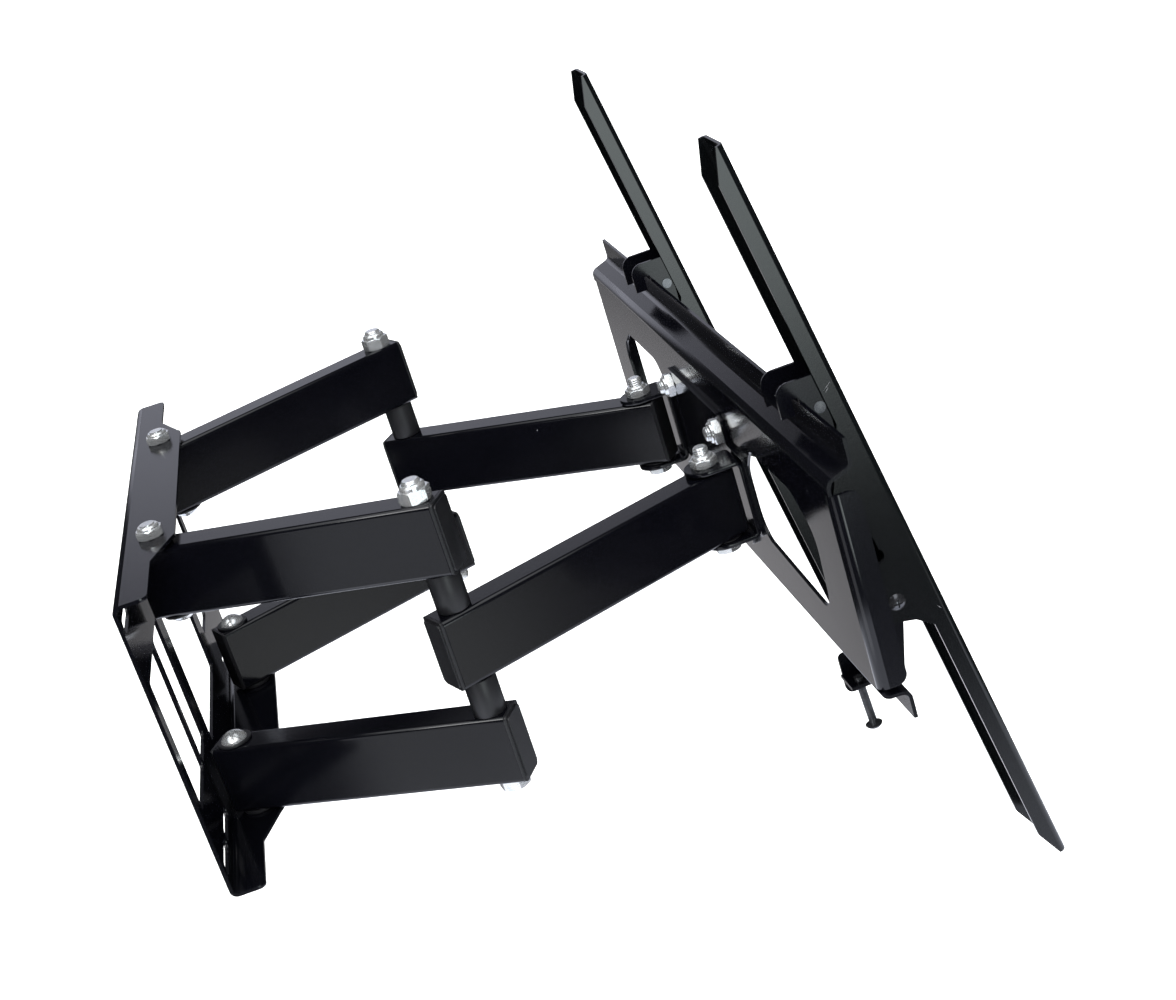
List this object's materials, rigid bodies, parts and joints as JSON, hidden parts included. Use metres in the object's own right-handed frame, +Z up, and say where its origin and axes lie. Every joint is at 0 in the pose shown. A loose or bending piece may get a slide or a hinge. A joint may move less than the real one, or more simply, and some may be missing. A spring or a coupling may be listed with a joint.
{
  "type": "tv wall mount",
  "caption": "Full-motion television wall mount: slotted wall plate, folding tube arms and forearms, wide carrier plate and upright tilting bars that hook onto it.",
  "frame": {"origin": "middle of the wall plate's back face, on the wall", "axes": "+Z up, +Y into the wall, -Y out towards the television, +X along the wall"},
  "size_m": [0.6122, 0.5335, 0.5366],
  "materials": {
    "powder_coat": "semi-gloss black powder coat, fine texture",
    "black_plastic": "satin black moulded plastic",
    "zinc": "bright zinc plate",
    "black_zinc": "glossy black screws"
  },
  "bodies": {
    "wall_side": {"wall_plate": "powder_coat", "shoulder_bolts": "zinc", "shoulder_nuts": "zinc", "shoulder_washers": "black_plastic"},
    "near_arm": {"near_upper_arm": "powder_coat", "near_lower_arm": "powder_coat", "near_upper_arm_wall_cap": "black_plastic", "near_upper_arm_elbow_cap": "black_plastic", "near_lower_arm_wall_cap": "black_plastic", "near_lower_arm_elbow_cap": "black_plastic", "near_elbow_spacers": "black_plastic", "near_elbow_bolt": "zinc", "near_elbow_nut": "zinc"},
    "far_arm": {"far_upper_arm": "powder_coat", "far_lower_arm": "powder_coat", "far_upper_arm_wall_cap": "black_plastic", "far_upper_arm_elbow_cap": "black_plastic", "far_lower_arm_wall_cap": "black_plastic", "far_lower_arm_elbow_cap": "black_plastic", "far_elbow_spacers": "black_plastic", "far_elbow_bolt": "zinc", "far_elbow_nut": "zinc"},
    "near_forearm_body": {"near_forearm": "powder_coat", "near_forearm_elbow_cap": "black_plastic", "near_forearm_wrist_cap": "black_plastic"},
    "far_forearm_body": {"far_forearm": "powder_coat", "far_forearm_elbow_cap": "black_plastic", "far_forearm_wrist_cap": "black_plastic"},
    "head": {"head_plate": "powder_coat", "head_plate_bolts": "zinc", "head_plate_nuts": "zinc", "near_wrist_bracket": "powder_coat", "far_wrist_bracket": "powder_coat", "wrist_bolts": "zinc", "wrist_nuts": "zinc", "wrist_washers": "black_plastic", "carrier_plate": "powder_coat"},
    "near_hook": {"near_hook_bracket": "powder_coat", "near_cross_pin": "black_zinc"},
    "far_hook": {"far_hook_bracket": "powder_coat", "far_cross_pin": "black_zinc"},
    "near_bar": {"near_tv_bar": "powder_coat", "near_tilt_screw": "black_zinc", "near_tilt_nut": "zinc"},
    "far_bar": {"far_tv_bar": "powder_coat", "far_tilt_screw": "black_zinc", "far_tilt_nut": "zinc"},
    "near_lock": {"near_lock_screw": "black_zinc"},
    "far_lock": {"far_lock_screw": "black_zinc"}
  },
  "joints": [
    {"name": "near_shoulder", "type": "hinge", "parent": "wall_side", "child": "near_arm", "pos_m": [-0.1055, -0.023, 0], "axis": [0, 0, -1], "range_deg": [-22, 50]},
    {"name": "near_elbow", "type": "hinge", "parent": "near_arm", "child": "near_forearm_body", "pos_m": [-0.19237, -0.19647, 0], "axis": [0, 0, 1], "range_deg": [-45, 101.01]},
    {"name": "near_wrist", "type": "hinge", "parent": "near_forearm_body", "child": "head", "pos_m": [-0.11009, -0.3875, 0], "axis": [0, 0, 1], "range_deg": [-46.62, 21.07]},
    {"name": "far_shoulder", "type": "hinge", "parent": "wall_side", "child": "far_arm", "pos_m": [0.1055, -0.023, 0], "axis": [0, 0, 1], "range_deg": [-24.48, 54.36]},
    {"name": "far_elbow", "type": "hinge", "parent": "far_arm", "child": "far_forearm_body", "pos_m": [0.1836, -0.20058, 0], "axis": [0, 0, 1], "range_deg": [-102.57, 45.69]},
    {"name": "near_hook_slide", "type": "slide", "parent": "head", "child": "near_hook", "axis": [0.999, 0.0454, 0], "range_m": [-0.055, 0.1]},
    {"name": "near_tilt", "type": "hinge", "parent": "near_hook", "child": "near_bar", "pos_m": [-0.22937, -0.46129, -0.0474], "axis": [-0.999, -0.0454, 0], "range_deg": [-16, 0.9]},
    {"name": "near_lock", "type": "slide", "parent": "near_hook", "child": "near_lock", "axis": [-0.0029, 0.0645, 0.9979], "range_m": [0, 0.02]},
    {"name": "far_hook_slide", "type": "slide", "parent": "head", "child": "far_hook", "axis": [0.999, 0.0454, 0], "range_m": [-0.06, 0.12]},
    {"name": "far_tilt", "type": "hinge", "parent": "far_hook", "child": "far_bar", "pos_m": [0.13576, -0.44471, -0.0474], "axis": [-0.999, -0.0454, 0], "range_deg": [-16, 0.9]},
    {"name": "far_lock", "type": "slide", "parent": "far_hook", "child": "far_lock", "axis": [-0.0029, 0.0645, 0.9979], "range_m": [0, 0.02]}
  ],
  "couplings": [
    {"joint": "near_elbow", "follows": "near_shoulder", "ratio": 2.0002},
    {"joint": "near_wrist", "follows": "near_shoulder", "ratio": -0.9124},
    {"joint": "far_shoulder", "follows": "near_shoulder", "ratio": 1.0672},
    {"joint": "far_elbow", "follows": "near_shoulder", "ratio": -2.0314}
  ]
}
